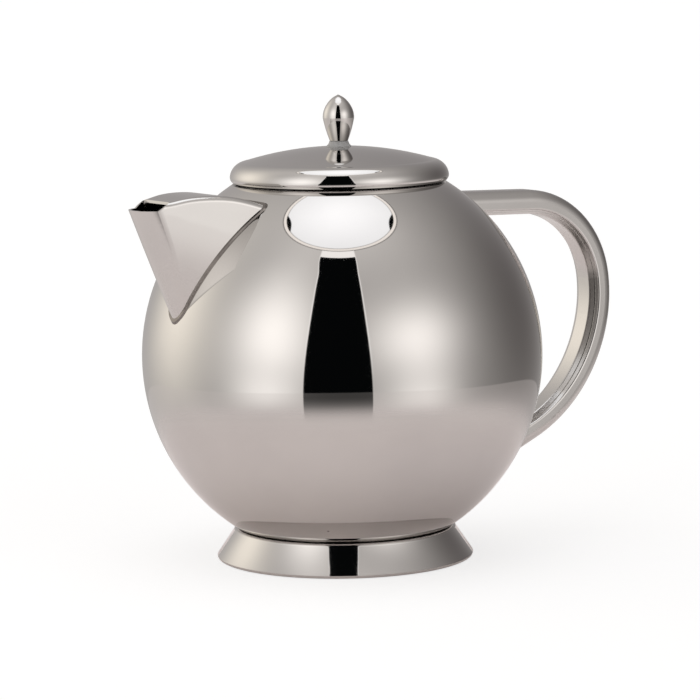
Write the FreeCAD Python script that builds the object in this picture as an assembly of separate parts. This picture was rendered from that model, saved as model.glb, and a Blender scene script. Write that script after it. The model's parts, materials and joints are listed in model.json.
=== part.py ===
"""Ball-shaped steel teapot with a lift-out infuser basket and a lift-off lid.

Millimetres. The origin is the middle of the foot ring's resting face, +Z is up,
the spout points to -X and the handle to +X. The plane y = 0 is the plane of symmetry.
"""
import FreeCAD, Part
import math
import os

Vector = FreeCAD.Vector
AXIS = Vector(0, 0, 1)

# ---- driving dimensions -------------------------------------------------------

BODY_RADIUS = 72.5            # at the widest point of the ball
BODY_HALF_HEIGHT = 73.7       # the ball is very slightly taller than it is wide
SHEET = 0.9                   # wall of the ball
NECK_RADIUS = 38.6            # edge of the ball's opening, outside
BASE_RADIUS = 32.0            # where the ball turns into its flat bottom

FOOT_RADIUS = 46.6            # widest point of the foot ring
FOOT_TOP_RADIUS = 39.4
FOOT_HEIGHT = 11.3

COLLAR_BORE = 34.2            # neck collar, the ledge that the infuser hangs on
COLLAR_WALL = 0.8
COLLAR_DEPTH = 11.0

BASKET_RADIUS = 32.9          # outside of the infuser's straight top band
BASKET_BASE_RADIUS = 30.6
BASKET_WALL = 0.5
BASKET_FLOOR_Z = 58.0
HOLE_RADIUS = 1.2             # perforations of the infuser and the strainer

LID_RADIUS = 39.4
LID_TOP_Z = 149.3
LID_DOME_RADIUS = 119.5       # radius of curvature of the lid's top
LID_SHEET = 0.8
SKIRT_RADIUS = 31.9

KNOB_RADIUS = 5.65
KNOB_BASE_Z = 151.2
KNOB_TIP_Z = 167.9
SCREW_RADIUS = 2.0            # M4

MOUTH_X = -86.6               # tip of the spout
MOUTH_Z = 131.4
SPOUT_NOSE_RADIUS = 9.1       # plan radius of the beak at the mouth
SPOUT_NOSE_SWELL = 9.8        # how much the beak's radius bulges on the way down
SPOUT_APEX_Z = 77.7           # height where the beak's radius would run out to nothing
SPOUT_LEAN = 0.409            # forward run of the keel for each unit of height
SPOUT_LEVELS = (85.0, 95.0, 106.0, 118.0, 130.0, 142.0)   # heights of the drawn sections
SPOUT_SHEET = 1.0
ROOF_FRONT_X = -76.5          # front edge of the roof over the spout
ROOF_POINTS = ((-98.0, 137.4), (-85.0, 134.6), (-77.0, 134.2), (-71.0, 135.2), (-62.0, 135.7),
               (-53.0, 134.9), (-44.0, 132.4), (-32.0, 128.6))   # its arch, seen from the side
FOLD_RADIUS = 2.0             # of the folds between roof and sides
STRAINER_Z = 118.0            # middle of the round way from the ball into the spout
STRAINER_RADIUS = 10.8

HANDLE_DEPTH = 9.0            # across the handle's section, in the plane of the loop
HANDLE_HALF_WIDTH = 7.0
HANDLE_WALL = 1.0
HANDLE_SEAM = 1.15            # height of the closing strip's edge above its face
HANDLE_START_X = 42.0         # the loop's centre line starts inside the ball
HANDLE_START_Z = 125.73
HANDLE_TILT = math.radians(2.0)
HANDLE_TOP_RUN = 39.8
HANDLE_BENDS = ((34.3, 81.1), (49.1, 17.8), (54.6, 55.1))   # radius and turn of each
HANDLE_LOW_RUN = 41.0

CLEARANCE = 0.3               # between pieces that lift apart
WELD = 0.8                    # reach of a weld bead from its sheet
WELD_HEIGHT = 0.6

# ---- heights that follow ------------------------------------------------------

BODY_CENTRE_Z = BODY_HALF_HEIGHT


def ball_height(radius, inset=0.0, top=True):
    """Height of the ball's surface, moved in by inset, at a radius from the axis."""
    rise = (BODY_HALF_HEIGHT - inset) * math.sqrt(1 - (radius / (BODY_RADIUS - inset)) ** 2)
    return BODY_CENTRE_Z + (rise if top else -rise)


def dome_height(radius, drop=0.0):
    """Height of the lid's dome at a radius, drop below its outer face."""
    curve = LID_DOME_RADIUS - drop
    return LID_TOP_Z - LID_DOME_RADIUS + math.sqrt(curve ** 2 - radius ** 2)


LEDGE_Z = ball_height(NECK_RADIUS - 0.6, SHEET)       # top of the neck collar
RIM_Z = LEDGE_Z + CLEARANCE                           # underside of the infuser's flange
RIM_WALL = 0.7


# ---- helpers ------------------------------------------------------------------

class Outline:
    """A closed outline drawn from point to point in the XZ plane."""

    def __init__(self, x, z):
        self.start = self.here = Vector(x, 0, z)
        self.edges = []

    def line(self, x, z):
        end = Vector(x, 0, z)
        self.edges.append(Part.LineSegment(self.here, end).toShape())
        self.here = end
        return self

    def arc(self, through, end):
        middle = Vector(through[0], 0, through[1])
        end = Vector(end[0], 0, end[1])
        self.edges.append(Part.Arc(self.here, middle, end).toShape())
        self.here = end
        return self

    def curve(self, *points):
        """A smooth curve through points, setting off straight upwards."""
        points = [self.here] + [Vector(x, 0, z) for x, z in points]
        landing = (points[-1] - points[-2]).normalize()
        smooth = Part.BSplineCurve()
        smooth.interpolate(Points=points, InitialTangent=AXIS, FinalTangent=landing)
        self.edges.append(smooth.toShape())
        self.here = points[-1]
        return self

    def spline(self, curve):
        """Follow a finished curve from its end to its start."""
        self.line(curve.EndPoint.x, curve.EndPoint.z)
        self.edges.append(curve.toShape())
        self.here = curve.StartPoint
        return self

    def ball(self, end_radius, inset, top):
        """Follow the ball's own curve, moved in by inset, to end_radius."""
        long = BODY_HALF_HEIGHT - inset
        short = BODY_RADIUS - inset
        centre = Vector(0, 0, BODY_CENTRE_Z)
        curve = Part.Ellipse(centre + Vector(0, 0, long), centre + Vector(short, 0, 0), centre)
        end = Vector(end_radius, 0, ball_height(end_radius, inset, top))
        first, last = sorted((curve.parameter(self.here), curve.parameter(end)))
        self.edges.append(Part.ArcOfEllipse(curve, first, last).toShape())
        self.here = end
        return self

    def face(self):
        if (self.here - self.start).Length > 1e-6:
            self.line(self.start.x, self.start.z)
        return Part.Face(Part.Wire(Part.__sortEdges__(self.edges)))

    def revolved(self):
        return self.face().revolve(Vector(0, 0, 0), AXIS, 360)


def cylinder(radius, low, high, x=0.0, y=0.0):
    return Part.makeCylinder(radius, high - low, Vector(x, y, low))


def ball(grow=0.0):
    """The solid ball, grown by grow all round."""
    top = BODY_CENTRE_Z + BODY_HALF_HEIGHT + grow
    low = 2 * BODY_CENTRE_Z - top
    centre = Vector(0, 0, BODY_CENTRE_Z)
    curve = Part.Ellipse(Vector(0, 0, top), centre + Vector(BODY_RADIUS + grow, 0, 0), centre)
    edges = [Part.ArcOfEllipse(curve, 0, math.pi).toShape()]
    edges.append(Part.makeLine(Vector(0, 0, low), Vector(0, 0, top)))
    face = Part.Face(Part.Wire(Part.__sortEdges__(edges)))
    return face.revolve(Vector(0, 0, 0), AXIS, 360)


def weld_bead(foot, grown_foot):
    """The band of weld round a piece that stands on the ball."""
    layer = ball(WELD_HEIGHT).cut(ball())
    return solids(grown_foot.cut(foot).common(layer), smallest=1.0)


def solids(shape, smallest=0.5):
    """Drop crumbs, and give a single solid where there is one."""
    kept = [solid for solid in shape.Solids if solid.Volume > smallest]
    return kept[0] if len(kept) == 1 else Part.makeCompound(kept)


def save(name, shape):
    if not shape.isValid():
        print("INVALID", name)
    shape.exportStep("parts/" + name + ".step")
    box = shape.BoundBox
    print("%-22s %d solid, %8.0f mm3, x %.1f %.1f y %.1f %.1f z %.1f %.1f" % (
        name, len(shape.Solids), shape.Volume,
        box.XMin, box.XMax, box.YMin, box.YMax, box.ZMin, box.ZMax))


# ---- the pot ------------------------------------------------------------------

def pot_shell():
    """The ball: one spun sheet with a dished bottom and a round way into the spout."""
    base_z = ball_height(BASE_RADIUS, 0, False)
    inner_base = BASE_RADIUS - 0.5
    shape = Outline(0, 7.0)
    shape.line(22.0, 5.5).arc((27.6, 5.75), (BASE_RADIUS, base_z))
    shape.ball(BODY_RADIUS, 0, True).ball(NECK_RADIUS, 0, True)
    shape.line(NECK_RADIUS - 0.6, LEDGE_Z)
    shape.ball(BODY_RADIUS - SHEET, SHEET, True).ball(inner_base, SHEET, False)
    shape.arc((27.2, 6.65), (22.0, 5.5 + SHEET)).line(0, 7.0 + SHEET)
    return shape.revolved().cut(spout_drill(STRAINER_RADIUS))


def spout_drill(radius, across=0.0, up=0.0):
    """A rod square to the ball behind the spout, moved across and up from its middle."""
    rise = (STRAINER_Z - BODY_CENTRE_Z) / BODY_HALF_HEIGHT
    middle = Vector(-BODY_RADIUS * math.sqrt(1 - rise ** 2), 0, STRAINER_Z)
    outward = Vector(middle.x / BODY_RADIUS ** 2, 0, rise / BODY_HALF_HEIGHT).normalize()
    upward = Vector(outward.z, 0, -outward.x)
    start = middle + Vector(0, across, 0) + upward * up - outward * 6
    return Part.makeCylinder(radius, 12, start, outward)


def spout_strainer():
    """The perforated disc that fills the way into the spout, curved like the ball."""
    disc = ball().cut(ball(-SHEET)).common(spout_drill(STRAINER_RADIUS))
    holes = [spout_drill(HOLE_RADIUS, across, up) for across, up in ring_places(2, 4.2)]
    return solids(disc.cut(Part.makeCompound(holes)))


def ring_places(rings, pitch):
    """A middle place, and rings of places round it, six more in each."""
    places = [(0.0, 0.0)]
    for ring in range(1, rings + 1):
        for step in range(6 * ring):
            angle = 2 * math.pi * step / (6 * ring)
            places.append((pitch * ring * math.cos(angle), pitch * ring * math.sin(angle)))
    return places


def foot_ring():
    """A flared ring with a thick rounded rest edge and a lip turned in against the ball."""
    shape = Outline(44.0, 0.0)
    shape.line(45.6, 0.0).arc((FOOT_RADIUS - 0.3, 0.3), (FOOT_RADIUS, 1.1))
    shape.line(40.5, 10.2).arc((40.2, 10.9), (FOOT_TOP_RADIUS, FOOT_HEIGHT))
    shape.line(36.0, FOOT_HEIGHT).line(36.0, 8.2).line(39.0, 9.0).line(43.3, 2.1)
    shape.arc((43.3, 0.5), (44.0, 0.0))
    return solids(shape.revolved().cut(ball()))


def neck_collar():
    """The ring inside the opening: a flange for the infuser, and a short bore."""
    outer = COLLAR_BORE + COLLAR_WALL
    under = LEDGE_Z - COLLAR_WALL
    shape = Outline(COLLAR_BORE, LEDGE_Z - COLLAR_DEPTH)
    shape.line(outer, LEDGE_Z - COLLAR_DEPTH).line(outer, under)
    shape.line(NECK_RADIUS + 1.2, under).line(NECK_RADIUS + 1.2, LEDGE_Z)
    shape.line(COLLAR_BORE + 0.7, LEDGE_Z)
    shape.arc((COLLAR_BORE + 0.2, LEDGE_Z - 0.2), (COLLAR_BORE, LEDGE_Z - 0.7))
    return solids(shape.revolved().common(ball(-SHEET)))


# ---- the spout ----------------------------------------------------------------

def spout_section(z, grow):
    """The U-shaped plan of the spout at height z, moved outwards by grow."""
    height = (z - SPOUT_APEX_Z) / (MOUTH_Z - SPOUT_APEX_Z)
    size = SPOUT_NOSE_RADIUS * height + SPOUT_NOSE_SWELL * height * (1 - height)
    centre_x = MOUTH_X + SPOUT_LEAN * (MOUTH_Z - z) + size
    radius = size + grow
    spread = math.radians(12.4 + 6.8 * (MOUTH_Z - z) / 45.0)
    side_x = centre_x - radius * math.sin(spread)
    side_y = radius * math.cos(spread)
    back_x = ROOF_POINTS[-1][0]
    back_y = side_y + (back_x - side_x) * math.tan(spread)
    near_back, near = Vector(back_x, -back_y, z), Vector(side_x, -side_y, z)
    far_back, far = Vector(back_x, back_y, z), Vector(side_x, side_y, z)
    nose = Part.Arc(near, Vector(centre_x - radius, 0, z), far).toShape()
    sides = [Part.makeLine(near_back, near), nose, Part.makeLine(far, far_back)]
    return Part.Wire(sides + [Part.makeLine(far_back, near_back)])


def side_cut(shape):
    """A flat outline in the XZ plane, carried across the spout's whole width."""
    return shape.face().translated(Vector(0, -30, 0)).extrude(Vector(0, 60, 0))


def under_roof(grow):
    """Everything below the arched roof, which is flat across and runs on past the mouth."""
    back, front = ROOF_POINTS[-1][0], ROOF_POINTS[0][0]
    return side_cut(Outline(back, 80).spline(roof_line(grow)).line(front, 80))


def roof_line(grow=0.0):
    """The roof seen from the side, from in front of the mouth to inside the ball."""
    line = Part.BSplineCurve()
    line.interpolate(Points=[Vector(x, 0, z + grow) for x, z in ROOF_POINTS])
    return line


def roof_height(x):
    """Height of the roof at a place along it."""
    plane = Part.Plane(Vector(x, 0, 0), Vector(1, 0, 0))
    return roof_line().intersect(plane)[0][0].Z


def spout_beak(grow=0.0):
    """The beak carried on above its roof."""
    return Part.makeLoft([spout_section(z, grow) for z in SPOUT_LEVELS], True)


def spout_block(grow=0.0):
    """The beak as one block with the folds along its roof rounded, its nose not yet cut."""
    block = spout_beak(grow).common(under_roof(grow))
    top = max(block.Faces, key=lambda face: face.CenterOfMass.z)
    back = ROOF_POINTS[-1][0] - 1
    folds = [edge for edge in top.Edges if edge.CenterOfMass.x < back]
    return block.makeFillet(FOLD_RADIUS + grow, folds)


def spout_solid(grow=0.0):
    """The block cut level at the mouth, and sloping up to the front edge of the roof."""
    mouth = Outline(-105, MOUTH_Z).line(ROOF_FRONT_X - 4.0, MOUTH_Z)
    mouth.line(ROOF_FRONT_X, roof_height(ROOF_FRONT_X)).line(ROOF_FRONT_X, 150).line(-105, 150)
    return spout_block(grow).cut(side_cut(mouth))


def spout_hollow():
    """The room inside the sheet, open above in front of the roof."""
    front = Outline(-105, 80).line(ROOF_FRONT_X, 80).line(ROOF_FRONT_X, 150).line(-105, 150)
    open_front = spout_beak(-SPOUT_SHEET).common(side_cut(front))
    return spout_block(-SPOUT_SHEET).fuse(open_front)


def spout_shell():
    return solids(spout_solid().cut(spout_hollow()).cut(ball()))


def spout_weld_bead():
    return weld_bead(spout_solid(), spout_solid(WELD))


# ---- the handle ---------------------------------------------------------------

def swept(section):
    """Carry a section face along the loop: a level run, three bends, a run to the ball."""
    heading = -HANDLE_TILT
    here = Vector(HANDLE_START_X, 0, HANDLE_START_Z)
    run = Vector(math.cos(heading), 0, math.sin(heading)) * HANDLE_TOP_RUN
    pieces = [section_at(section, here, heading).extrude(run)]
    here = here + run
    for radius, turn in HANDLE_BENDS:
        centre = here + Vector(math.sin(heading), 0, -math.cos(heading)) * radius
        placed = section_at(section, here, heading)
        pieces.append(placed.revolve(centre, Vector(0, 1, 0), turn))
        heading -= math.radians(turn)
        here = centre - Vector(math.sin(heading), 0, -math.cos(heading)) * radius
    run = Vector(math.cos(heading), 0, math.sin(heading)) * HANDLE_LOW_RUN
    pieces.append(section_at(section, here, heading).extrude(run))
    return pieces[0].fuse(pieces[1:]).removeSplitter()


def section_at(section, here, heading):
    """Stand the section square to the loop at a point of its centre line."""
    along = Vector(math.cos(heading), 0, math.sin(heading))
    out = Vector(-along.z, 0, along.x)
    matrix = FreeCAD.Matrix(0, along.x, out.x, here.x,
                            -1, along.y, out.y, here.y,
                            0, along.z, out.z, here.z,
                            0, 0, 0, 1)
    placed = section.copy()
    placed.Placement = FreeCAD.Placement(matrix).multiply(placed.Placement)
    return placed


def handle_outline():
    """The section of the loop as a wire: x across the width, z out of the loop."""
    half = HANDLE_DEPTH / 2
    wide = HANDLE_HALF_WIDTH
    corner = 4.3
    flat = wide - corner
    shape = Outline(-flat, half)
    shape.line(flat, half)
    shape.arc((flat + corner * 0.7071, half - corner * 0.2929), (wide, half - corner))
    shape.line(wide, -1.9).arc((6.87, -2.38), (6.52, -2.72)).line(3.87, 0.25 - half)
    shape.arc((3.42, 0.06 - half), (2.94, -half)).line(-2.94, -half)
    shape.arc((-3.42, 0.06 - half), (-3.87, 0.25 - half)).line(-6.52, -2.72)
    shape.arc((-6.87, -2.38), (-wide, -1.9)).line(-wide, half - corner)
    shape.arc((-flat - corner * 0.7071, half - corner * 0.2929), (-flat, half))
    return Part.Wire(Part.__sortEdges__(shape.edges))


def block(x_low, x_high, z_low, z_high):
    return Outline(x_low, z_low).line(x_high, z_low).line(x_high, z_high).line(x_low, z_high).face()


def handle_sections():
    """Faces of the outer channel and of the strip that closes it, with a groove between."""
    outline = handle_outline()
    ring = Part.Face(outline).cut(Part.Face(outline.makeOffset2D(-HANDLE_WALL)))
    seam = HANDLE_SEAM - HANDLE_DEPTH / 2
    for side in (-1, 1):
        groove = sorted((side * 5.15, side * 6.5))
        ring = ring.cut(block(*groove, seam - 0.1, seam + 0.1))
    channel = ring.cut(block(-10, 10, -10, seam))
    strip = ring.cut(block(-10, 10, seam, 10))
    return channel.Faces, strip.Faces


def handle_channel():
    return solids(swept(handle_sections()[0][0]).cut(ball()))


def handle_inner_strip():
    return solids(swept(handle_sections()[1][0]).cut(ball()))


def handle_weld_beads():
    outline = handle_outline()
    grown = swept(Part.Face(outline.makeOffset2D(WELD)))
    return weld_bead(swept(Part.Face(outline)), grown)


# ---- the infuser --------------------------------------------------------------

def infuser_rim():
    """A flange that hangs on the neck collar, on a band round the top of the basket."""
    top = RIM_Z + RIM_WALL
    band = BASKET_RADIUS + 0.6
    edge = 36.6
    shape = Outline(BASKET_RADIUS, RIM_Z - 7.5)
    shape.line(band, RIM_Z - 7.5).line(band, RIM_Z).line(edge - 0.35, RIM_Z)
    shape.arc((edge, RIM_Z + RIM_WALL / 2), (edge - 0.35, top))
    shape.line(BASKET_RADIUS + 0.5, top)
    shape.arc((BASKET_RADIUS + 0.15, top - 0.15), (BASKET_RADIUS, top - 0.5))
    return shape.revolved()


def infuser_basket():
    """The perforated wall: a straight band at the top and a slight taper below it."""
    band_z = RIM_Z - 7.5
    shape = Outline(BASKET_RADIUS, RIM_Z)
    shape.line(BASKET_RADIUS, band_z).line(BASKET_BASE_RADIUS, BASKET_FLOOR_Z)
    shape.line(BASKET_BASE_RADIUS - BASKET_WALL, BASKET_FLOOR_Z)
    shape.line(BASKET_RADIUS - BASKET_WALL, band_z).line(BASKET_RADIUS - BASKET_WALL, RIM_Z)
    return shape.revolved().cut(wall_holes())


def wall_holes():
    columns = 26
    rows = 11
    holes = []
    for row in range(rows):
        z = BASKET_FLOOR_Z + 9.0 + row * 5.2
        for column in range(columns):
            angle = 2 * math.pi * (column + 0.5 * (row % 2)) / columns
            outward = Vector(math.cos(angle), math.sin(angle), 0)
            start = outward * (BASKET_BASE_RADIUS - 3) + Vector(0, 0, z)
            holes.append(Part.makeCylinder(HOLE_RADIUS, 8, start, outward))
    return Part.makeCompound(holes)


def infuser_floor():
    """A perforated disc with its edge turned up against the inside of the wall."""
    radius = BASKET_BASE_RADIUS - BASKET_WALL
    lean = (BASKET_RADIUS - BASKET_BASE_RADIUS) / (RIM_Z - 7.5 - BASKET_FLOOR_Z)
    edge = 2.4
    shape = Outline(0, BASKET_FLOOR_Z)
    shape.line(radius, BASKET_FLOOR_Z).line(radius + lean * edge, BASKET_FLOOR_Z + edge)
    shape.line(radius + lean * edge - 0.6, BASKET_FLOOR_Z + edge)
    shape.line(radius - 0.6, BASKET_FLOOR_Z + 0.6).line(0, BASKET_FLOOR_Z + 0.6)
    holes = [cylinder(HOLE_RADIUS, BASKET_FLOOR_Z - 1, BASKET_FLOOR_Z + 2, x, y)
             for x, y in ring_places(5, 5.2)]
    return shape.revolved().cut(Part.makeCompound(holes))


def infuser_base_hoop():
    """A plain hoop round the foot of the basket, over the welded joint."""
    lean = (BASKET_RADIUS - BASKET_BASE_RADIUS) / (RIM_Z - 7.5 - BASKET_FLOOR_Z)
    width = 5.0
    wall = 0.8
    top = BASKET_FLOOR_Z + width
    shape = Outline(BASKET_BASE_RADIUS, BASKET_FLOOR_Z)
    shape.line(BASKET_BASE_RADIUS + wall - 0.3, BASKET_FLOOR_Z)
    shape.line(BASKET_BASE_RADIUS + wall, BASKET_FLOOR_Z + 0.3)
    shape.line(BASKET_BASE_RADIUS + wall + lean * width, top - 0.3)
    shape.line(BASKET_BASE_RADIUS + wall + lean * width - 0.3, top)
    shape.line(BASKET_BASE_RADIUS + lean * width, top)
    return shape.revolved()


# ---- the lid ------------------------------------------------------------------

def lid_shell():
    """A shallow dome whose edge rolls over and in, ending just inside the neck."""
    dome_edge = 34.2
    shape = Outline(SCREW_RADIUS + 0.15, dome_height(SCREW_RADIUS + 0.15))
    shape.arc((20, dome_height(20)), (dome_edge, dome_height(dome_edge)))
    shape.arc((37.9, 142.4), (LID_RADIUS, 139.2)).arc((39.0, 137.3), (37.7, 136.35))
    shape.line(37.25, 137.0)
    shape.arc((38.25, 137.75), (LID_RADIUS - LID_SHEET, 139.2))
    shape.arc((37.25, 141.9), (dome_edge - 0.25, dome_height(dome_edge - 0.25, LID_SHEET)))
    shape.arc((20, dome_height(20, LID_SHEET)),
              (SCREW_RADIUS + 0.15, dome_height(SCREW_RADIUS + 0.15, LID_SHEET)))
    return shape.revolved()


def lid_skirt():
    """The ring under the lid that keeps it centred, welded to the dome by a turned flange."""
    wall = 0.7
    inside = SKIRT_RADIUS - wall
    flange = SKIRT_RADIUS - 3.6
    low = RIM_Z - 7.0
    shape = Outline(SKIRT_RADIUS, low)
    shape.line(SKIRT_RADIUS, dome_height(SKIRT_RADIUS, LID_SHEET))
    shape.arc((SKIRT_RADIUS - 1.8, dome_height(SKIRT_RADIUS - 1.8, LID_SHEET)),
              (flange, dome_height(flange, LID_SHEET)))
    under = LID_SHEET + wall
    shape.line(flange, dome_height(flange, under))
    shape.arc((SKIRT_RADIUS - 2.2, dome_height(SKIRT_RADIUS - 2.2, under)),
              (inside, dome_height(inside, under)))
    shape.line(inside, low)
    return shape.revolved()


def knob():
    """A turned acorn with a small point, drilled from below for its screw."""
    shape = Outline(SCREW_RADIUS, KNOB_BASE_Z)
    shape.line(3.1, KNOB_BASE_Z).line(3.3, KNOB_BASE_Z + 0.2)
    shape.arc((4.62, 155.2), (KNOB_RADIUS, 159.6))
    shape.curve((4.35, 164.15), (1.7, 167.0), (0, KNOB_TIP_Z))
    shape.line(0, 160.0).line(SCREW_RADIUS, 159.0)
    return shape.revolved()


def knob_collar():
    """The grey plastic washer that keeps the knob off the hot lid."""
    bore = SCREW_RADIUS + 0.1
    shape = Outline(bore, dome_height(bore))
    shape.arc((3.2, dome_height(3.2)), (4.4, dome_height(4.4)))
    shape.line(4.35, 149.6).arc((3.75, 150.3), (3.45, KNOB_BASE_Z)).line(bore, KNOB_BASE_Z)
    return shape.revolved()


def knob_washer():
    top = dome_height(4.8, LID_SHEET)
    return cylinder(4.8, top - 0.8, top).cut(cylinder(SCREW_RADIUS + 0.15, top - 2, top + 1))


def knob_screw():
    """An M4 pan-head screw with a hexagon socket."""
    seat = dome_height(4.8, LID_SHEET) - 0.8
    shape = Outline(0, 158.0)
    shape.line(SCREW_RADIUS - 0.4, 158.0).line(SCREW_RADIUS, 157.4).line(SCREW_RADIUS, seat)
    shape.line(3.8, seat).line(3.8, seat - 1.4).arc((3.4, seat - 2.2), (2.6, seat - 2.5))
    shape.line(0, seat - 2.5)
    corners = [Vector(1.45 * math.cos(math.radians(60 * i)), 1.45 * math.sin(math.radians(60 * i)),
                      seat - 2.6) for i in range(7)]
    socket = Part.Face(Part.makePolygon(corners)).extrude(Vector(0, 0, 1.6))
    return shape.revolved().cut(socket)


# ---- all of it ----------------------------------------------------------------

PIECES = (pot_shell, foot_ring, neck_collar, spout_strainer, spout_shell, spout_weld_bead,
          handle_channel, handle_inner_strip, handle_weld_beads, infuser_rim, infuser_basket,
          infuser_floor, infuser_base_hoop, lid_shell, lid_skirt, knob, knob_collar, knob_washer,
          knob_screw)

os.makedirs("parts", exist_ok=True)
for piece in PIECES:
    save(piece.__name__, piece())
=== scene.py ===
"""Looks for the ball-shaped steel teapot: polished steel in a white light tent.

Metres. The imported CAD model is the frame: its nodes keep their places and shapes.
"""
import bmesh
import bpy
import cmath
import json
import math
from mathutils import Matrix, Vector


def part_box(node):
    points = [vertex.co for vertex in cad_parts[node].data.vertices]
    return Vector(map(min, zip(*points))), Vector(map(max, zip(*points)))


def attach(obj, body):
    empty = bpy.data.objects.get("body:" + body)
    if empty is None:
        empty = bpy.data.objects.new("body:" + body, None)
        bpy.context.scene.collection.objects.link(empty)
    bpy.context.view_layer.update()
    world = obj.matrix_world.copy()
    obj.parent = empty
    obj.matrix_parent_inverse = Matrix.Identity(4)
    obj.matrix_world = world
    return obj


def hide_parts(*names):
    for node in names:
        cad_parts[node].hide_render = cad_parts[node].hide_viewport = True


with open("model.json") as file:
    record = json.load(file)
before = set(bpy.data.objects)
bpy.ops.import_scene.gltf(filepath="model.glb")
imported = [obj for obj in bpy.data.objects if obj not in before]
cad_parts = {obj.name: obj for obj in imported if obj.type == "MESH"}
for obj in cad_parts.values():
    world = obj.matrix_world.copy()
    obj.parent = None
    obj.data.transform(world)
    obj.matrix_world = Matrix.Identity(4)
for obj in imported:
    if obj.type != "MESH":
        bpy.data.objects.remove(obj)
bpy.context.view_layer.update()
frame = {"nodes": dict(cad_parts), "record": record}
NODES = frame["nodes"]

# ---- camera -------------------------------------------------------------------

CAMERA_AZIMUTH = math.radians(33.547)     # turned from straight in front towards the spout
CAMERA_DISTANCE = 1.2491
CAMERA_HEIGHT = 0.23837
CAMERA_YAW = math.radians(-0.13)
CAMERA_PITCH = math.radians(7.439)
CAMERA_ROLL = math.radians(-0.902)
CAMERA_LENS = 178.67                      # on a 36 mm sensor


def make_camera():
    spot = Vector((-CAMERA_DISTANCE * math.sin(CAMERA_AZIMUTH),
                   -CAMERA_DISTANCE * math.cos(CAMERA_AZIMUTH), CAMERA_HEIGHT))
    heading = CAMERA_AZIMUTH - CAMERA_YAW
    ahead = Vector((math.sin(heading) * math.cos(CAMERA_PITCH),
                    math.cos(heading) * math.cos(CAMERA_PITCH), -math.sin(CAMERA_PITCH)))
    level = Vector((math.cos(heading), -math.sin(heading), 0))
    upright = level.cross(ahead)
    right = level * math.cos(CAMERA_ROLL) + upright * math.sin(CAMERA_ROLL)
    up = upright * math.cos(CAMERA_ROLL) - level * math.sin(CAMERA_ROLL)
    turn = Matrix((right, up, -ahead)).transposed().to_4x4()
    data = bpy.data.cameras.new("camera")
    data.sensor_width = 36
    data.lens = CAMERA_LENS
    data.clip_end = 100
    camera = bpy.data.objects.new("camera", data)
    camera.matrix_world = Matrix.Translation(spot) @ turn
    bpy.context.scene.collection.objects.link(camera)
    bpy.context.scene.camera = camera
    bpy.context.scene.view_settings.view_transform = "Standard"


# ---- node helpers ---------------------------------------------------------------

class Graph:
    """A short way to write node trees: each call adds a node and gives back its output."""

    def __init__(self, tree):
        self.tree = tree
        tree.nodes.clear()

    def node(self, kind, **settings):
        made = self.tree.nodes.new(kind)
        for name, value in settings.items():
            setattr(made, name, value)
        return made

    def feed(self, socket, value):
        if isinstance(value, bpy.types.NodeSocket):
            self.tree.links.new(value, socket)
        else:
            socket.default_value = value

    def math(self, operation, *values):
        made = self.node("ShaderNodeMath", operation=operation)
        for socket, value in zip(made.inputs, values):
            self.feed(socket, value)
        return made.outputs[0]

    def vector(self, operation, *values):
        made = self.node("ShaderNodeVectorMath", operation=operation)
        for socket, value in zip(made.inputs, values):
            self.feed(socket, value)
        return made.outputs[0]

    def scaled(self, colour, amount):
        made = self.node("ShaderNodeVectorMath", operation="SCALE")
        self.feed(made.inputs[0], colour)
        self.feed(made.inputs["Scale"], amount)
        return made.outputs[0]

    def step(self, value, low, high):
        """Rises smoothly from 0 at low to 1 at high."""
        made = self.node("ShaderNodeMapRange", interpolation_type="SMOOTHSTEP")
        self.feed(made.inputs["Value"], value)
        made.inputs["From Min"].default_value = min(low, high)
        made.inputs["From Max"].default_value = max(low, high)
        made.inputs["To Min"].default_value = 0 if low < high else 1
        made.inputs["To Max"].default_value = 1 if low < high else 0
        return made.outputs[0]

    def span(self, value, low, high):
        """Maps 0..1 to low..high."""
        made = self.node("ShaderNodeMapRange")
        self.feed(made.inputs["Value"], value)
        made.inputs["To Min"].default_value = low
        made.inputs["To Max"].default_value = high
        return made.outputs[0]

    def mix(self, factor, first, second):
        made = self.node("ShaderNodeMix", data_type="RGBA")
        self.feed(made.inputs[0], factor)
        self.feed(made.inputs[6], first)
        self.feed(made.inputs[7], second)
        return made.outputs[2]

    def noise(self, place, scale, detail=2.0, roughness=0.5):
        made = self.node("ShaderNodeTexNoise")
        self.feed(made.inputs["Vector"], place)
        made.inputs["Scale"].default_value = scale
        made.inputs["Detail"].default_value = detail
        made.inputs["Roughness"].default_value = roughness
        return made.outputs[0]

    def stretched(self, place, x, y, z):
        return self.vector("MULTIPLY", place, (x, y, z))

    def bump(self, shader, height, distance, strength):
        made = self.node("ShaderNodeBump")
        made.inputs["Distance"].default_value = distance
        made.inputs["Strength"].default_value = strength
        self.feed(made.inputs["Height"], height)
        self.feed(shader.inputs["Normal"], made.outputs[0])


# ---- studio ---------------------------------------------------------------------

WALL = (0.573, 0.550, 0.535)          # plain cloth of the light tent
HEM = (1.34, 1.26, 1.20)              # folded edge of the cloth, round the ceiling
CEILING_LOW = (1.34, 1.35, 1.385)
CEILING_HIGH = (1.65, 1.66, 1.705)
TABLE = (0.850, 0.785, 0.770)
SLIT = (0.0022, 0.0027, 0.0030)       # the dark slit that the camera looks through
SLIT_HEM = (1.42, 1.38, 1.36)

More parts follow.
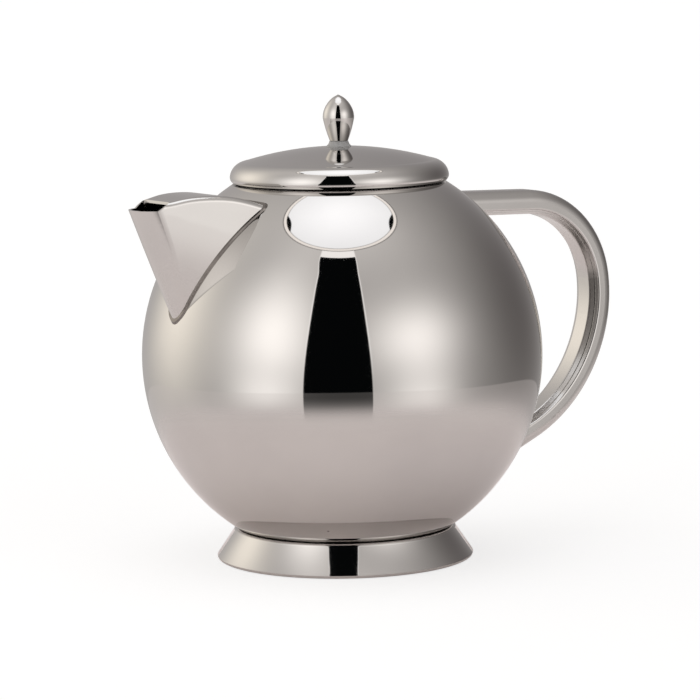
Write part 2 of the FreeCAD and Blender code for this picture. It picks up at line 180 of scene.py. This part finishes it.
# Glows on the tent's cloth: compass angle from the slit, positive to the camera's right,
# height angle, half-width, half-height (all in degrees) and added light.
GLOWS = (
    (-41, 16, 26, 30, (1.03, 1.00, 0.98)),        # front left lamp
    (-46, -17, 20, 11, (0.51, 0.50, 0.49)),        # its spill low on the cloth
    (-115, 14, 28, 27, (0.78, 0.72, 0.61)),       # warm bounce on the left
    (44, 14, 27, 18, (0.93, 0.90, 0.88)),         # front right lamp
    (47, -29, 22, 26, (0.93, 0.90, 0.88)),        # its spill low on the cloth
    (125, 7, 53, 51, (-0.39, -0.38, -0.37)),      # unlit right side
    (0, 96, 135, 41, (0.43, 0.41, 0.40)),         # cloth near the ceiling
    (180, 22, 50, 30, (-0.06, -0.06, -0.05)),     # unlit back
)
CLOTH_EDGE = 65.7                     # height angles of the hem's two sides
CEILING_EDGE = 67.3
CEILING_FADE = (60, 90)               # from the low to the high colour
GAP_ANGLE = 95                        # gaps in the ceiling's edge, to the left and the right
GAP_HALF_WIDTH = 16
GAP_HEIGHT = 1.8
# Sides of the slit: sense, compass angle, and how much wider it is at the foot and at the top.
SLIT_SIDES = ((-1, 18.5, 5.0, 2.8), (1, 14.2, 3.6, 1.0))
SLIT_TOP = 61.3
SLIT_HEM_WIDTH = 0.8
HORIZON = -14.0                       # height angle of the table's far edge, towards the camera
HORIZON_RISE = 3.2                    # how much higher that edge is behind the pot
HORIZON_STEP = 0.25                   # part of the change from cloth to table made at the edge
TABLE_FADE = -29                      # height angle where the rest of the change is done

FLOOR_RADIUS = 30.0
FLOOR_HEIGHT = -0.0002
SHEET_RADIUS = 0.26                   # the part of the table that is near enough to be shaded
SHEET_HEIGHT = -0.0004
SHEET_FADE = (0.12, 0.25)


def spread(g, value, width):
    """The exponent's part of a bell curve."""
    return g.math("POWER", g.math("DIVIDE", value, width), 2)


def thin_line(g, value, middle, width):
    """1 in the middle of a line, 0 at its edges."""
    return g.step(g.math("ABSOLUTE", g.math("SUBTRACT", value, middle)), width, 0.0)


def add_glows(g, light, compass, height):
    for angle, rise, wide, tall, colour in GLOWS:
        aside = g.math("WRAP", g.math("SUBTRACT", compass, angle), 180.0, -180.0)
        across = spread(g, aside, wide)
        upward = spread(g, g.math("SUBTRACT", height, rise), tall)
        amount = g.math("EXPONENT", g.math("MULTIPLY", g.math("ADD", across, upward), -1.0))
        light = g.vector("ADD", light, g.scaled(colour, amount))
    return light


def add_ceiling(g, light, compass, height):
    """A bright ceiling inside a hem, with a dark gap on either hand."""
    light = g.mix(g.step(height, CLOTH_EDGE, CLOTH_EDGE + 0.3), light, HEM + (1,))
    ceiling = g.mix(g.step(height, *CEILING_FADE), CEILING_LOW + (1,), CEILING_HIGH + (1,))
    light = g.mix(g.step(height, CEILING_EDGE - 0.2, CEILING_EDGE + 0.2), light, ceiling)
    seams = g.math("ADD", g.math("MULTIPLY", thin_line(g, height, CLOTH_EDGE, 0.5), 0.6),
                   g.math("MULTIPLY", thin_line(g, height, CEILING_EDGE, 0.4), 0.5))
    light = g.scaled(light, g.math("SUBTRACT", 1.0, seams))
    off_gap = g.math("SUBTRACT", g.math("ABSOLUTE", compass), GAP_ANGLE)
    lens = g.math("MULTIPLY", spread(g, off_gap, GAP_HALF_WIDTH), -GAP_HEIGHT)
    gap_top = g.math("ADD", lens, CEILING_EDGE + GAP_HEIGHT)
    gap = g.math("MULTIPLY", g.step(height, CEILING_EDGE - 0.3, CEILING_EDGE),
                 g.step(g.math("SUBTRACT", gap_top, height), -0.2, 0.2))
    return g.mix(gap, light, SLIT + (1,))


def slit_mask(g, compass, height, wider):
    inside = None
    for sense, angle, foot, top in SLIT_SIDES:
        flare = g.math("ADD", g.math("MULTIPLY", g.step(height, 40, -35), foot),
                       g.math("MULTIPLY", g.step(height, 50, 61), top))
        past = g.math("SUBTRACT", g.math("MULTIPLY", compass, sense), flare)
        side = g.step(past, angle + wider + 0.3, angle + wider - 0.3)
        inside = side if inside is None else g.math("MULTIPLY", inside, side)
    return inside


def add_slit(g, light, compass, height):
    """The camera's slit: a pale lip at its top, hemmed sides, and its faded image in the table."""
    hemmed = g.math("MULTIPLY", slit_mask(g, compass, height, SLIT_HEM_WIDTH),
                    g.step(height, CLOTH_EDGE, CLOTH_EDGE - 0.2))
    hem_strength = g.math("MULTIPLY", hemmed, g.step(height, HORIZON, 25))
    light = g.mix(g.math("MULTIPLY", hem_strength, 0.7), light, SLIT_HEM + (1,))
    inside = slit_mask(g, compass, height, 0.0)
    lip = g.math("MULTIPLY", g.math("MULTIPLY", inside, g.step(height, SLIT_TOP, SLIT_TOP + 0.4)),
                 g.step(height, CLOTH_EDGE - 0.3, CLOTH_EDGE - 0.5))
    light = g.mix(lip, light, SLIT_HEM + (1,))
    dark = g.math("MULTIPLY", inside, g.step(height, SLIT_TOP + 0.4, SLIT_TOP))
    in_table = g.math("MULTIPLY", g.step(height, -33, -16), 0.9)
    fade = g.math("MAXIMUM", in_table, g.step(height, HORIZON - 0.2, HORIZON + 0.2))
    return g.mix(g.math("MULTIPLY", dark, fade), light, SLIT + (1,))


def make_world():
    """A round white tent with a flat ceiling, as seen from its middle."""
    world = bpy.data.worlds.new("tent")
    bpy.context.scene.world = world
    world.use_nodes = True
    g = Graph(world.node_tree)
    place = g.node("ShaderNodeTexCoord").outputs["Generated"]
    split = g.node("ShaderNodeSeparateXYZ")
    g.feed(split.inputs[0], g.vector("NORMALIZE", place))
    x, y, z = split.outputs
    # compass angle from the slit, which faces the camera
    to_slit = (-math.sin(CAMERA_AZIMUTH), -math.cos(CAMERA_AZIMUTH))
    ahead = g.math("ADD", g.math("MULTIPLY", x, to_slit[0]), g.math("MULTIPLY", y, to_slit[1]))
    aside = g.math("ADD", g.math("MULTIPLY", x, -to_slit[1]), g.math("MULTIPLY", y, to_slit[0]))
    compass = g.math("DEGREES", g.math("ARCTAN2", aside, ahead))
    height = g.math("DEGREES", g.math("ARCSINE", z))
    light = add_glows(g, WALL, compass, height)
    light = g.vector("MAXIMUM", light, (0.0, 0.0, 0.0))
    behind = g.step(g.math("ABSOLUTE", compass), 60, 160)
    sunk = g.math("SUBTRACT", height, g.math("MULTIPLY", behind, HORIZON_RISE))
    edge = g.step(sunk, HORIZON + 0.2, HORIZON - 0.2)
    below = g.math("ADD", g.math("MULTIPLY", edge, HORIZON_STEP),
                   g.math("MULTIPLY", g.step(sunk, HORIZON, TABLE_FADE), 1 - HORIZON_STEP))
    light = g.mix(below, light, TABLE + (1,))
    light = add_ceiling(g, light, compass, height)
    light = add_slit(g, light, compass, height)
    seen = g.node("ShaderNodeLightPath").outputs["Is Camera Ray"]
    light = g.mix(seen, light, (1, 1, 1, 1))
    glow = g.node("ShaderNodeBackground")
    g.feed(glow.inputs[0], light)
    out = g.node("ShaderNodeOutputWorld")
    g.feed(out.inputs[0], glow.outputs[0])


def disc(name, radius, height, sides=96):
    rim = [(radius * math.cos(2 * math.pi * i / sides), radius * math.sin(2 * math.pi * i / sides),
            height) for i in range(sides)]
    mesh = bpy.data.meshes.new(name)
    mesh.from_pydata(rim, [], [list(range(sides))])
    made = bpy.data.objects.new(name, mesh)
    bpy.context.scene.collection.objects.link(made)
    return made


def lit_surface(name, matt_colour, glow_colour, glow):
    """A matt surface with a little light of its own; its shader is still to be joined up."""
    material = bpy.data.materials.new(name)
    material.use_nodes = True
    g = Graph(material.node_tree)
    matt = g.node("ShaderNodeBsdfDiffuse")
    matt.inputs[0].default_value = matt_colour + (1,)
    lit = g.node("ShaderNodeEmission")
    lit.inputs[0].default_value = glow_colour + (1,)
    lit.inputs[1].default_value = glow
    both = g.node("ShaderNodeAddShader")
    g.feed(both.inputs[0], matt.outputs[0])
    g.feed(both.inputs[1], lit.outputs[0])
    out = g.node("ShaderNodeOutputMaterial")
    return material, g, both, out


def make_floor():
    """The pale floor that is seen, and the table's own sheet that the steel reflects."""
    floor = disc("floor", FLOOR_RADIUS, FLOOR_HEIGHT)
    material, g, pale, out = lit_surface("pale_floor", (0.38, 0.38, 0.38), (1.0, 1.0, 1.0), 0.72)
    g.feed(out.inputs[0], pale.outputs[0])
    floor.data.materials.append(material)
    floor.visible_glossy = False
    floor.visible_diffuse = False
    floor.visible_shadow = False
    floor.visible_transmission = False

    sheet = disc("table_sheet", SHEET_RADIUS, SHEET_HEIGHT)
    material, g, pale, out = lit_surface("table_sheet", (0.95, 0.885, 0.88), (1.0, 0.93, 0.92), 0.09)
    place = g.node("ShaderNodeTexCoord").outputs["Object"]
    away = g.node("ShaderNodeVectorMath", operation="LENGTH")
    g.feed(away.inputs[0], place)
    fade = g.step(away.outputs["Value"], *SHEET_FADE)
    clear = g.node("ShaderNodeBsdfTransparent")
    both = g.node("ShaderNodeMixShader")
    g.feed(both.inputs[0], fade)
    g.feed(both.inputs[1], pale.outputs[0])
    g.feed(both.inputs[2], clear.outputs[0])
    g.feed(out.inputs[0], both.outputs[0])
    sheet.data.materials.append(material)
    sheet.visible_camera = False


# ---- finer meshes of the mirror-polished pieces ------------------------------------------
# Sections in millimetres, as radius and height above the table, in complex numbers.

MM = 0.001
BODY_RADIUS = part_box("pot_shell")[1][0] / MM
BODY_HALF_HEIGHT = BODY_RADIUS * 1.01655
SHEET = 0.9
NECK_RADIUS = 38.6
BASE_RADIUS = 32.0
STRAINER_RADIUS = 10.8
STRAINER_HEIGHT = 118.0
LID_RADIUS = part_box("lid_shell")[1][0] / MM
LID_SHEET = 0.8
LID_DOME_RADIUS = 119.5
LID_CROWN = 149.3
LID_BORE = 2.15
FOOT_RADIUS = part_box("foot_ring")[1][0] / MM


def ball_height(radius, inset=0.0, top=True):
    rise = (BODY_HALF_HEIGHT - inset) * math.sqrt(1 - (radius / (BODY_RADIUS - inset)) ** 2)
    return BODY_HALF_HEIGHT + (rise if top else -rise)


def dome_height(radius, drop=0.0):
    curve = LID_DOME_RADIUS - drop
    return LID_CROWN - LID_DOME_RADIUS + math.sqrt(curve ** 2 - radius ** 2)


class Section:
    """One side of a turned piece, run from point to point."""

    def __init__(self, radius, height):
        self.points = [complex(radius, height)]

    def line(self, radius, height):
        self.points.append(complex(radius, height))
        return self

    def arc(self, through, end, steps=14):
        start, through, end = self.points[-1], complex(*through), complex(*end)
        ratio = (end - start) / (through - start)
        offset = (ratio - abs(ratio) ** 2) / (2j * ratio.imag)
        centre = start + (through - start) * offset
        turn = cmath.phase((end - centre) / (start - centre)) / steps
        for step in range(1, steps):
            self.points.append(centre + (start - centre) * cmath.exp(1j * turn * step))
        self.points.append(end)
        return self

    def ball(self, end_radius, inset, top, steps=150):
        """Follow the ball's own curve, moved in by inset, to end_radius."""
        tall = BODY_HALF_HEIGHT - inset
        first = math.asin((self.points[-1].imag - BODY_HALF_HEIGHT) / tall)
        last = math.asin((ball_height(end_radius, inset, top) - BODY_HALF_HEIGHT) / tall)
        for step in range(1, steps + 1):
            angle = first + (last - first) * step / steps
            radius = (BODY_RADIUS - inset) * math.cos(angle)
            self.points.append(complex(radius, BODY_HALF_HEIGHT + tall * math.sin(angle)))
        return self


def smooth(mesh):
    mesh.shade_smooth()
    mesh.set_sharp_from_angle(angle=math.radians(35))


def turned(name, section, node, turns=300):
    """Spin a section round the pot's axis, to stand in for a CAD node of polished steel."""
    points = section.points
    count = len(points)
    spots = []
    faces = []
    for turn in range(turns):
        angle = 2 * math.pi * turn / turns
        spots += [(p.real * MM * math.cos(angle), p.real * MM * math.sin(angle), p.imag * MM)
                  for p in points]
        here = turn * count
        there = (turn + 1) % turns * count
        for i in range(count):
            j = (i + 1) % count
            if points[i].real > 0 or points[j].real > 0:
                faces.append((here + i, here + j, there + j, there + i))
    mesh = bpy.data.meshes.new(name)
    mesh.from_pydata(spots, [], faces)
    shape = bmesh.new()
    shape.from_mesh(mesh)
    bmesh.ops.remove_doubles(shape, verts=shape.verts, dist=1e-7)
    bmesh.ops.recalc_face_normals(shape, faces=shape.faces)
    shape.to_mesh(mesh)
    shape.free()
    smooth(mesh)
    piece = bpy.data.objects.new(name, mesh)
    bpy.context.scene.collection.objects.link(piece)
    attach(piece, next(body for body, names in frame["record"]["behaviour"]["bodies"].items()
                        if node in names))
    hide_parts(node)
    return piece


def ball_sheet():
    """The ball, open at its neck, with a dished bottom."""
    ledge = ball_height(NECK_RADIUS - 0.6, SHEET)
    section = Section(0, 7.0).line(22.0, 5.5)
    section.arc((27.6, 5.75), (BASE_RADIUS, ball_height(BASE_RADIUS, 0, False)))
    section.ball(NECK_RADIUS, 0, True).line(NECK_RADIUS - 0.6, ledge)
    section.ball(BASE_RADIUS - 0.5, SHEET, False).arc((27.2, 5.75 + SHEET), (22.0, 5.5 + SHEET))
    piece = turned("ball_sheet", section.line(0, 7.0 + SHEET), "pot_shell")
    cut_spout_way(piece)
    return piece


def cut_spout_way(piece):
    """The round way through the ball behind the spout."""
    rise = (STRAINER_HEIGHT - BODY_HALF_HEIGHT) / BODY_HALF_HEIGHT
    middle = Vector((-BODY_RADIUS * math.sqrt(1 - rise ** 2), 0, STRAINER_HEIGHT))
    outward = Vector((middle.x / BODY_RADIUS ** 2, 0, rise / BODY_HALF_HEIGHT))
    turn = outward.to_track_quat("Z", "Y").to_matrix().to_4x4()
    shape = bmesh.new()
    bmesh.ops.create_cone(shape, cap_ends=True, segments=72, radius1=STRAINER_RADIUS * MM,
                          radius2=STRAINER_RADIUS * MM, depth=12 * MM,
                          matrix=Matrix.Translation(middle * MM) @ turn)
    mesh = bpy.data.meshes.new("drill")
    shape.to_mesh(mesh)
    shape.free()
    drill = bpy.data.objects.new("drill", mesh)
    bpy.context.scene.collection.objects.link(drill)
    cut = piece.modifiers.new("spout_way", "BOOLEAN")
    cut.object = drill
    cut.solver = "EXACT"
    bpy.context.view_layer.update()
    drilled = piece.evaluated_get(bpy.context.evaluated_depsgraph_get())
    mesh = bpy.data.meshes.new_from_object(drilled)
    piece.modifiers.clear()
    bpy.data.objects.remove(drill)
    smooth(mesh)
    piece.data = mesh


def lid_dome():
    """The lid's dome with its rolled edge."""
    edge = 34.2
    section = Section(LID_BORE, dome_height(LID_BORE))
    section.arc((20, dome_height(20)), (edge, dome_height(edge)), 40)
    section.arc((37.9, 142.4), (LID_RADIUS, 139.2), 24).arc((39.0, 137.3), (37.7, 136.35))
    section.line(37.25, 137.0).arc((38.25, 137.75), (LID_RADIUS - LID_SHEET, 139.2))
    edge -= 0.25
    section.arc((37.25, 141.9), (edge, dome_height(edge, LID_SHEET)))
    section.arc((20, dome_height(20, LID_SHEET)), (LID_BORE, dome_height(LID_BORE, LID_SHEET)), 40)
    return turned("lid_dome", section, "lid_shell")


def foot_flare():
    """The foot ring, with its lip simplified where it meets the ball."""
    section = Section(44.0, 0.0).line(45.6, 0.0)
    section.arc((FOOT_RADIUS - 0.3, 0.3), (FOOT_RADIUS, 1.1), 6).line(40.5, 10.2)
    section.arc((40.2, 10.9), (39.4, 11.3), 6)
    section.line(38.6, ball_height(38.6, 0, False)).line(36.3, ball_height(36.3, 0, False))
    section.line(36.3, 8.25).line(39.0, 9.0).line(43.3, 2.1).arc((43.3, 0.5), (44.0, 0.0), 6)
    return turned("foot_flare", section, "foot_ring")


# ---- materials --------------------------------------------------------------------

def new_material(name):
    material = bpy.data.materials.new(name)
    material.use_nodes = True
    g = Graph(material.node_tree)
    shader = g.node("ShaderNodeBsdfPrincipled")
    out = g.node("ShaderNodeOutputMaterial")
    g.feed(out.inputs[0], shader.outputs[0])
    place = g.node("ShaderNodeTexCoord").outputs["Object"]
    return material, g, shader, place


def polished_steel(name, roughness, grain=None):
    """Mirror-polished sheet with faint haze, a few pits and, where given, a buffed grain."""
    material, g, shader, place = new_material(name)
    shader.inputs["Metallic"].default_value = 1.0
    haze = g.noise(place, 28, 3)
    pits = g.node("ShaderNodeTexVoronoi")
    g.feed(pits.inputs["Vector"], place)
    pits.inputs["Scale"].default_value = 70
    rare = g.step(g.noise(place, 45, 1), 0.60, 0.66)
    pit = g.math("MULTIPLY", g.step(pits.outputs["Distance"], 0.035, 0.02), rare)
    colour = g.mix(g.step(haze, 0.3, 0.7), (0.585, 0.570, 0.555, 1), (0.615, 0.600, 0.582, 1))
    g.feed(shader.inputs["Base Color"], g.mix(pit, colour, (0.16, 0.14, 0.13, 1)))
    g.feed(shader.inputs["Roughness"], g.span(haze, roughness * 0.7, roughness * 1.4))
    wave = g.noise(place, 60, 2)
    if grain:
        wave = g.math("ADD", wave, g.noise(g.stretched(place, *grain), 1.0, 2))
    g.bump(shader, wave, 0.00001, 0.25)
    return material


def satin_steel(name, roughness, grain, depth=0.4, colour=(0.60, 0.585, 0.57)):
    """Unpolished sheet with a fine drawn grain."""
    material, g, shader, place = new_material(name)
    shader.inputs["Metallic"].default_value = 1.0
    line = g.noise(g.stretched(place, *grain), 1.0, 3, 0.6)
    dark = tuple(part * 0.86 for part in colour) + (1,)
    g.feed(shader.inputs["Base Color"], g.mix(line, dark, colour + (1,)))
    g.feed(shader.inputs["Roughness"], g.span(line, roughness * 0.75, roughness * 1.3))
    g.bump(shader, line, 0.00002, depth)
    return material


def weld_steel():
    """A dressed weld: browner than the sheet, with slow ripples left by the file."""
    material, g, shader, place = new_material("weld_steel")
    shader.inputs["Metallic"].default_value = 1.0
    ripple = g.noise(place, 350, 2)
    patch = g.noise(place, 150, 2)
    dark, pale = (0.09, 0.08, 0.075, 1), (0.34, 0.315, 0.295, 1)
    g.feed(shader.inputs["Base Color"], g.mix(patch, dark, pale))
    g.feed(shader.inputs["Roughness"], g.span(patch, 0.10, 0.20))
    g.bump(shader, ripple, 0.00015, 0.35)
    return material


def grey_plastic():
    material, g, shader, place = new_material("grey_plastic")
    cloud = g.noise(place, 300, 3)
    g.feed(shader.inputs["Base Color"], g.mix(cloud, (0.36, 0.365, 0.365, 1), (0.46, 0.465, 0.465, 1)))
    g.feed(shader.inputs["Roughness"], g.span(cloud, 0.38, 0.5))
    g.bump(shader, g.noise(place, 2500, 2), 0.00002, 0.5)
    return material


def paint(material, *names):
    for name in names:
        for place in NODES[name].material_slots:
            place.material = material


def paint_pieces(material, *pieces):
    for piece in pieces:
        piece.data.materials.append(material)


def finish_nodes():
    ring = (60, 60, 2600)
    paint_pieces(polished_steel("polished_ball", 0.03), ball_sheet())
    paint_pieces(polished_steel("polished_lid", 0.04), lid_dome())
    paint(polished_steel("polished_knob", 0.04), "knob")
    paint(polished_steel("polished_spout", 0.07), "spout_shell")
    paint_pieces(polished_steel("polished_foot", 0.05, ring), foot_flare())
    paint(polished_steel("polished_handle", 0.15), "handle_channel", "handle_inner_strip")
    paint(satin_steel("satin_ring", 0.26, ring), "infuser_base_hoop", "infuser_basket",
          "lid_skirt", "spout_strainer")
    paint(satin_steel("dull_ring", 0.34, (60, 60, 900), 0.1, (0.34, 0.33, 0.32)), "neck_collar",
          "infuser_rim")
    paint(satin_steel("satin_flat", 0.24, (900, 60, 900)), "infuser_floor", "knob_washer",
          "knob_screw")
    paint(weld_steel(), "spout_weld_bead", "handle_weld_beads")
    paint(grey_plastic(), "knob_collar")


make_camera()
make_world()
make_floor()
finish_nodes()
